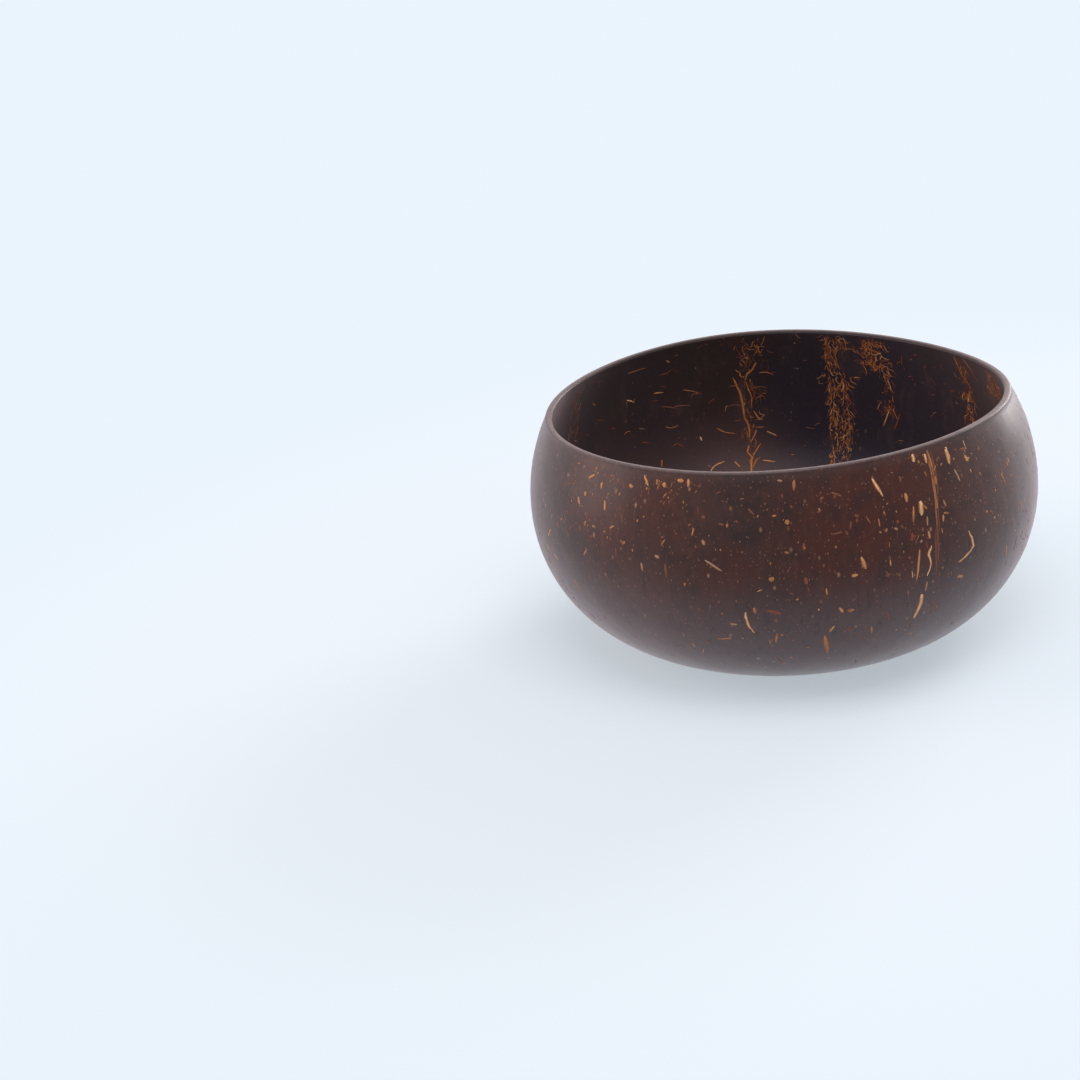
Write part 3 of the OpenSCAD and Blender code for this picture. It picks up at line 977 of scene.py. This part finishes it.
# Broken lines: their tops and ends, the lengths and widths of their parts, the step to the next part as a
# share of the length, and how many degrees the parts and their places stray by
LINE_TOP = (0.5, 4)
LINE_BOTTOM = (22, 40)
LINE_LENGTH = (7, 15)
LINE_WIDTH = (0.4, 0.85)
LINE_STEP = (0.3, 0.65)
PART_STRAY = 0.4
PLACE_STRAY = 0.15
LINE_TONES = (ORANGE, ORANGE, REDDISH, DULL_RED)

# The paler flecks beside a broken line: how many, how many degrees they stray by, where they start and how
# far they go on past it in mm, their widths, how much longer than wide they are, and their lean
BESIDE_COUNT = 9
BESIDE_STRAY = 3
BESIDE_TOP = 1
BESIDE_PAST = 6
BESIDE_WIDTH = (0.6, 1.4)
BESIDE_EXTRA = (0.5, 2.5)
BESIDE_LEAN = 12
BESIDE_TONES = (BEIGE, TAN, TAN, ORANGE)

# Strands in the bands inside, and single ones, of which a share are specks and the rest lie across. They
# crowd towards the lip and end short of the middle of the floor.
BAND_WIDTH = (0.18, 0.36)
BAND_EXTRA = 0.2
BAND_LENGTH = (0.7, 4.2)
SINGLE_TOP = 1
SINGLE_END = 4
SINGLE_CROWDING = 0.6
SINGLE_WIDTH = (0.2, 0.46)
SINGLE_LENGTH = (1, 3.8)
SINGLE_LEAN = (85, 26)
SINGLE_SPECK_SHARE = 0.4
SINGLE_SPECK_LENGTH = 1.4


def curve_point(path, t):
    """A point of a smooth curve through the places of a path."""
    spans = len(path) - 1
    k = min(int(t * spans), spans - 1)
    f = t * spans - k
    a, b = path[k], path[k + 1]
    before = path[k - 1] if k else a * 2 - b
    after = path[k + 2] if k + 2 <= spans else b * 2 - a
    bend = 2 * before - 5 * a + 4 * b - after
    twist = 3 * a - before - 3 * b + after
    return 0.5 * (2 * a + (b - before) * f + bend * f * f + twist * f ** 3)


class Strands:
    """Lays fibre strands flush in one side of the wall, all in one mesh."""

    def __init__(self, wall, line, outwards, look, seed):
        self.wall = wall
        self.line = line
        self.outwards = outwards
        self.look = look
        self.chance = random.Random(seed)
        self.bundles = []
        self.start_bundle()

    def start_bundle(self):
        """Strands are made some at a time, which keeps each step quick."""
        self.bm = bmesh.new()
        self.tone = self.bm.verts.layers.float.new("tone")
        self.rim = self.bm.verts.layers.float.new("rim")

    def end_bundle(self):
        mesh = bpy.data.meshes.new("bundle")
        self.bm.to_mesh(mesh)
        self.bm.free()
        self.bundles.append(mesh)

    def pick(self, weights):
        """One of the tones, by how often each comes up."""
        return self.chance.choices(TONES, weights)[0]

    def lay(self, places, width_mm, tone, start=0.0, end=0.0):
        """One strand through places given as (degrees, mm below the lip), blunt or pointed at each end."""
        if len(self.bm.verts) > BUNDLE:
            self.end_bundle()
            self.start_bundle()
        path = [Vector((math.radians(turn), down * MM)) for turn, down in places]
        half = width_mm * MM / 2
        made = bmesh.ops.create_uvsphere(self.bm, u_segments=SIDES, v_segments=2 + 2 * len(path), radius=1.0)
        rings = {}
        ripe = self.chance.uniform(*WARM_START)
        for v in made["verts"]:
            key = round(v.co.z, 4)
            if key not in rings:
                rings[key] = self.ring(path, v.co.z, half, end if v.co.z > 0 else start)
            centre, across, off = rings[key]
            warmer = WARMER * smooth_step(ripe, ripe + WARM_STRETCH, v.co.z) if tone in WARM_TONES else 0.0
            v[self.tone] = (tone - warmer) / TONES[-1]
            v[self.rim] = min(1.0, abs(v.co.x) * RIM_GROWTH)
            lift = v.co.y * (self.look.proud if v.co.y > 0 else self.look.sunk)
            v.co = centre + across * v.co.x + off * lift

    def ring(self, path, z, half, point):
        """Where one ring of a strand lies, how wide it is, and which way is off the wall."""
        t = (z + 1) / 2
        here, ahead, behind = (curve_point(path, min(1.0, max(0.0, t + s))) for s in (0, AHEAD, -AHEAD))
        centre = self.wall.place(self.line, here.x, here.y)
        front = self.wall.place(self.line, ahead.x, ahead.y)
        back = self.wall.place(self.line, behind.x, behind.y)
        off = self.wall.normal(self.line, here.x, here.y, self.outwards)
        across = off.cross((front - back).normalized()).normalized()
        ragged = RAGGED if len(path) <= PLAIN_PLACES else RAGGED_IF_KINKED
        swell = max(TIP, 1 - z * z) ** point * self.chance.uniform(1 - ragged, 1 + ragged)
        sway = across * (half * self.chance.uniform(-ragged, ragged))
        return centre + sway, across * (half * swell), off

    def moved(self, turn, down, along, lean):
        """A place in degrees and mm, moved so many mm along a leaning strand."""
        radius = max(self.wall.along(self.line, down * MM).x / MM, NEAR_MIDDLE)
        tilt = math.radians(lean)
        sideways = math.degrees(along * math.sin(tilt) / radius)
        return turn + sideways, max(LIP_GAP, down + along * math.cos(tilt))

    def dash(self, turn, down, length, width, lean, tone):
        """A short strand around one place; lean is in degrees from upright."""
        run = max(length - width * BLUNT_SHARE, SHORTEST_DASH) / 2
        ends = [self.moved(turn, down, k * run, lean) for k in (-1, 1)]
        self.lay(ends, width, tone, self.chance.uniform(*DASH_START), self.chance.uniform(*DASH_END))

    def wander(self, turn, down, length, width, lean, tone, curl):
        """A curled strand that starts at one place."""
        places = [(turn, down)]
        steps = 3 if length > SHORT_CURL else 2
        for _ in range(steps):
            turn, down = self.moved(turn, down, length / steps, lean)
            places.append((turn, down))
            lean += self.chance.gauss(0, curl)
        self.lay(places, width, tone, *WANDER_ENDS)

    def broken_line(self, turn, top, bottom):
        """A broken line of fibre down the wall, with paler flecks beside it."""
        chance = self.chance
        down = top
        while down < bottom:
            length = chance.uniform(*LINE_LENGTH)
            side = turn + chance.gauss(0, PART_STRAY)
            places = [(side + chance.gauss(0, PLACE_STRAY), down + k * length / 3) for k in range(4)]
            width = chance.uniform(*LINE_WIDTH)
            self.lay(places, width, chance.choice(LINE_TONES), *LINE_ENDS)
            down += length * chance.uniform(*LINE_STEP)
        for _ in range(BESIDE_COUNT):
            place = (turn + chance.gauss(0, BESIDE_STRAY), chance.uniform(BESIDE_TOP, bottom + BESIDE_PAST))
            width = chance.uniform(*BESIDE_WIDTH)
            tone = chance.choice(BESIDE_TONES)
            length = width + chance.uniform(*BESIDE_EXTRA)
            self.dash(*place, length, width, chance.gauss(0, BESIDE_LEAN), tone)

    def finish(self, name, material):
        """Joins the bundles to one piece of the polished shell."""
        self.end_bundle()
        whole = bmesh.new()
        for mesh in self.bundles:
            whole.from_mesh(mesh)
            bpy.data.meshes.remove(mesh)
        piece = link_mesh(name, whole)
        piece.data.materials.append(material)
        piece.data.polygons.foreach_set("use_smooth", [True] * len(piece.data.polygons))
        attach(piece, "root")


# The stage

# Lamps: where each stands, the point it faces, its width and height, its power in watts and its colour
PALE_LIGHT = (1.0, 0.93, 0.92)
WARM_LIGHT = (1.0, 0.74, 0.68)
LAMPS = {
    "overhead_soft_box": ((0.06, -0.35, 1.1), (0, 0, 0.03), (0.9, 0.7), 5.5, PALE_LIGHT),
    "left_soft_box": ((-1.0, 0.1, 0.35), (0, 0, 0.04), (0.5, 0.8), 4.2, WARM_LIGHT),
    "right_soft_box": ((0.8, 0.8, 0.3), (0, 0, 0.04), (0.6, 0.8), 13.0, PALE_LIGHT),
}
SURROUND_COLOUR = (0.97, 1.0, 1.0)

# Within which share of its reach the shadow is full, and how bright the floor is for bounced light
FULL_SHADOW = 0.35
BOUNCE = 0.9

# The camera's place, and its directions to the right, which carries the tilt of the bowl, and ahead
CAMERA_PLACE = (-0.0696, -0.5776, 0.2509)
CAMERA_RIGHT = (0.99407, -0.03859, -0.10166)
CAMERA_AHEAD = (0.0, 0.93491, -0.35488)
SENSOR_MM = 36.0
SEEN_FROM = 0.01
SEEN_TO = 30.0


def floor_material(look):
    """Pale floor: its own even colour for the camera, and the lamps' light and shadow near the bowl."""
    material, tree = new_material("pale_floor")
    rays = add(tree, "ShaderNodeLightPath").outputs
    place = add(tree, "ShaderNodeTexCoord").outputs["Object"]
    away = distance(tree, place, (0, 0, 0))
    near = between(tree, away, look.shadow_reach, look.shadow_reach * FULL_SHADOW, look.shadow)
    even = add(tree, "ShaderNodeEmission", {"Color": look.floor})
    lit = add(tree, "ShaderNodeBsdfDiffuse", {"Color": look.floor})
    plain = add(tree, "ShaderNodeBsdfDiffuse", {"Color": rgba(look.floor, BOUNCE)})
    shown = either(tree, near, even, lit)
    shown = either(tree, rays["Is Camera Ray"], plain, shown)
    shown = either(tree, most(tree, rays["Is Glossy Ray"], rays["Is Transmission Ray"]), shown, even)
    add(tree, "ShaderNodeOutputMaterial", {"Surface": shown.outputs[0]})
    return material


def add_world(look):
    """The backdrop's own colour for the camera and in reflections, and a weaker even light on the bowl."""
    world = bpy.data.worlds.new("studio")
    world.use_nodes = True
    tree = world.node_tree
    tree.nodes.clear()
    rays = add(tree, "ShaderNodeLightPath").outputs
    mirrored = most(tree, rays["Is Glossy Ray"], rays["Is Transmission Ray"])
    backdrop = add(tree, "ShaderNodeBackground", {"Color": look.floor})
    even = add(tree, "ShaderNodeBackground", {"Color": SURROUND_COLOUR, "Strength": look.surround})
    shown = either(tree, most(tree, rays["Is Camera Ray"], mirrored), even, backdrop)
    add(tree, "ShaderNodeOutputWorld", {"Surface": shown.outputs[0]})
    bpy.context.scene.world = world


def add_lamp(name, place, aim, size, power, colour):
    lamp = bpy.data.lights.new(name, "AREA")
    lamp.shape = "RECTANGLE"
    lamp.size = size[0]
    lamp.size_y = size[1]
    lamp.energy = power
    lamp.color = colour
    box = bpy.data.objects.new(name, lamp)
    bpy.context.scene.collection.objects.link(box)
    facing = (Vector(aim) - Vector(place)).to_track_quat("-Z", "Y")
    box.matrix_world = Matrix.Translation(place) @ facing.to_matrix().to_4x4()


def add_camera(look):
    camera = bpy.data.cameras.new("camera")
    camera.sensor_width = SENSOR_MM
    camera.lens = look.lens / MM
    camera.clip_start = SEEN_FROM
    camera.clip_end = SEEN_TO
    holder = bpy.data.objects.new("camera", camera)
    bpy.context.scene.collection.objects.link(holder)
    ahead = Vector(CAMERA_AHEAD)
    up = Vector(CAMERA_RIGHT).cross(ahead).normalized()
    right = ahead.cross(up).normalized()
    turned = Matrix((right, up, -ahead)).transposed().to_4x4()
    holder.matrix_world = Matrix.Translation(CAMERA_PLACE) @ turned
    bpy.context.scene.camera = holder


# Operators


class BOWL_OT_shell(bpy.types.Operator):
    """Spin the shell's wall, cut its eyes and give it its satin polish"""

    bl_idname = "shell_bowl.shell"
    bl_label = "Polished Shell"

    def execute(self, context):
        wall = Wall(context.scene.shell_shape)
        shell = spun_shell(wall)
        check_size(shell)
        cut_eyes(shell, context.scene.eye_sizes)
        mark_middle(shell, wall)
        mesh = shell.data
        mesh.materials.clear()
        mesh.materials.append(polished_shell_material(context.scene.shell_finish))
        mesh.polygons.foreach_set("material_index", [0] * len(mesh.polygons))
        mesh.polygons.foreach_set("use_smooth", [True] * len(mesh.polygons))
        mesh.set_sharp_from_angle(angle=SHARP_EDGE)
        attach(shell, "root")
        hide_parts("shell")
        return {"FINISHED"}


class BOWL_OT_outside_flecks(bpy.types.Operator):
    """Lay the flecks and strands of fibre that the polish shows on the outside"""

    bl_idname = "shell_bowl.outside_flecks"
    bl_label = "Outside Flecks"

    def execute(self, context):
        look = context.scene.strand_look
        wall = Wall(context.scene.shell_shape)
        strands = Strands(wall, wall.outside, True, look, look.seed)
        for fleck in FRONT_FLECKS:
            strands.dash(*fleck)
        for places, width, tone in FRONT_STRANDS:
            strands.lay(places, width, tone, *FRONT_ENDS)
        chance = strands.chance
        for left, right, top, bottom, count in OUTSIDE_PATCHES:
            for _ in range(count):
                self.scatter(strands, chance.uniform(left, right), chance.uniform(top, bottom))
        for turn in BROKEN_LINES:
            strands.broken_line(turn, chance.uniform(*LINE_TOP), chance.uniform(*LINE_BOTTOM))
        strands.finish("outside_flecks", strand_material("fibre_strands", fringe=look.fringe))
        return {"FINISHED"}

    @staticmethod
    def scatter(strands, turn, down):
        """One fleck: most are specks about as long as wide, some are longer, and a few are curled."""
        chance = strands.chance
        upright = chance.random() < UPRIGHT_SHARE
        lean = chance.gauss(0, UPRIGHT_SPREAD) if upright else chance.uniform(-90, 90)
        tone = strands.pick(OUTSIDE_TONES)
        kind = chance.random()
        width = FLECK_WIDTH + FLECK_EXTRA * chance.random() ** 2
        if kind < SPECK_SHARE:
            strands.dash(turn, down, width * chance.uniform(*SPECK_LENGTH), width, lean, tone)
        elif kind < UNCURLED_SHARE:
            strands.dash(turn, down, chance.uniform(*SHORT_LENGTH), width * SLIM, lean, tone)
        else:
            length = chance.uniform(*CURL_LENGTH)
            strands.wander(turn, down, length, width * SLIM, lean, tone, OUTSIDE_CURL)


class BOWL_OT_inside_bands(bpy.types.Operator):
    """Lay the cracks and the tangled bands of fibre that run down the inside"""

    bl_idname = "shell_bowl.inside_bands"
    bl_label = "Inside Bands"

    def execute(self, context):
        look = context.scene.strand_look
        wall = Wall(context.scene.shell_shape)
        strands = Strands(wall, wall.inside, False, look, look.seed + 1)
        for places, width, tone in INSIDE_STRANDS:
            strands.lay(places, width, tone, *INSIDE_ENDS)
        chance = strands.chance
        for left, right, top, bottom, count, lean in INSIDE_BANDS:
            for _ in range(count):
                turn = chance.triangular(left, right)
                down = chance.uniform(top, bottom)
                tone = strands.pick(BAND_TONES)
                width = chance.uniform(*BAND_WIDTH) + BAND_EXTRA * chance.random() ** 3
                length = chance.uniform(*BAND_LENGTH)
                strands.wander(turn, down, length, width, chance.gauss(0, lean), tone, BAND_CURL)
        # Painted light: the inside strands are a paler copy of the fibre
        strands.finish("inside_bands", strand_material("inside_band_strands_painted_light", look.inside_painted_light))
        return {"FINISHED"}


class BOWL_OT_inside_strands(bpy.types.Operator):
    """Scatter single strands and specks of fibre over the inside"""

    bl_idname = "shell_bowl.inside_strands"
    bl_label = "Inside Strands"

    def execute(self, context):
        look = context.scene.strand_look
        wall = Wall(context.scene.shell_shape)
        strands = Strands(wall, wall.inside, False, look, look.seed + 2)
        chance = strands.chance
        middle = wall.inside[1][-1] / MM
        for _ in range(look.inside_count):
            turn = chance.uniform(0, 360)
            down = SINGLE_TOP + (middle - SINGLE_END) * (1 - chance.random() ** SINGLE_CROWDING)
            tone = strands.pick(INSIDE_TONES)
            width = chance.uniform(*SINGLE_WIDTH)
            if chance.random() < SINGLE_SPECK_SHARE:
                strands.dash(turn, down, width * SINGLE_SPECK_LENGTH, width, 0, tone)
            else:
                length = chance.uniform(*SINGLE_LENGTH)
                lean = chance.gauss(*SINGLE_LEAN)
                strands.wander(turn, down, length, width * SLIM, lean, tone, INSIDE_CURL)
        # Painted light: the inside strands are a paler copy of the fibre
        strands.finish("inside_strands", strand_material("inside_single_strands_painted_light", look.inside_painted_light))
        return {"FINISHED"}


class BOWL_OT_eye_fills(bpy.types.Operator):
    """Give the fills of the three eyes their sanded paste finish"""

    bl_idname = "shell_bowl.eye_fills"
    bl_label = "Eye Fills"

    def execute(self, context):
        material = eye_filler_material()
        for name in EYE_FILLS:
            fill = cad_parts[name]
            fill.data.materials.clear()
            fill.data.materials.append(material)
        return {"FINISHED"}


class BOWL_OT_stage(bpy.types.Operator):
    """Set up the floor, the soft lamps and the camera"""

    bl_idname = "shell_bowl.stage"
    bl_label = "Stage"

    def execute(self, context):
        look = context.scene.stage_look
        bm = bmesh.new()
        bmesh.ops.create_grid(bm, x_segments=4, y_segments=4, size=look.floor_width / 2)
        floor = link_mesh("floor", bm)
        floor.data.materials.append(floor_material(look))
        add_world(look)
        for name, lamp in LAMPS.items():
            add_lamp(name, *lamp)
        add_camera(look)
        context.scene.view_settings.view_transform = "Standard"
        return {"FINISHED"}


class BOWL_PT_panel(bpy.types.Panel):
    """Lists the bowl's pieces and their settings"""

    bl_idname = "BOWL_PT_panel"
    bl_label = "Coconut Shell Bowl"
    bl_space_type = "VIEW_3D"
    bl_region_type = "UI"
    bl_category = "Shell Bowl"

    def draw(self, context):
        layout = self.layout
        for operator in STEPS:
            layout.operator(operator.bl_idname)
        for name in GROUPS:
            group = getattr(context.scene, name)
            box = layout.box()
            for setting in group.__annotations__:
                box.prop(group, setting)


GROUPS = {
    "shell_shape": ShellShape,
    "eye_sizes": EyeSizes,
    "shell_finish": ShellFinish,
    "strand_look": StrandLook,
    "stage_look": StageLook,
}
STEPS = (
    BOWL_OT_shell,
    BOWL_OT_outside_flecks,
    BOWL_OT_inside_bands,
    BOWL_OT_inside_strands,
    BOWL_OT_eye_fills,
    BOWL_OT_stage,
)


def register():
    for name, group in GROUPS.items():
        bpy.utils.register_class(group)
        setattr(bpy.types.Scene, name, PointerProperty(type=group))
    for cls in STEPS + (BOWL_PT_panel,):
        bpy.utils.register_class(cls)


def unregister():
    for cls in (BOWL_PT_panel,) + STEPS[::-1]:
        bpy.utils.unregister_class(cls)
    for name, group in reversed(GROUPS.items()):
        delattr(bpy.types.Scene, name)
        bpy.utils.unregister_class(group)


def main():
    register()
    bpy.ops.shell_bowl.shell()
    bpy.ops.shell_bowl.outside_flecks()
    bpy.ops.shell_bowl.inside_bands()
    bpy.ops.shell_bowl.inside_strands()
    bpy.ops.shell_bowl.eye_fills()
    bpy.ops.shell_bowl.stage()


if __name__ == "__main__":
    main()
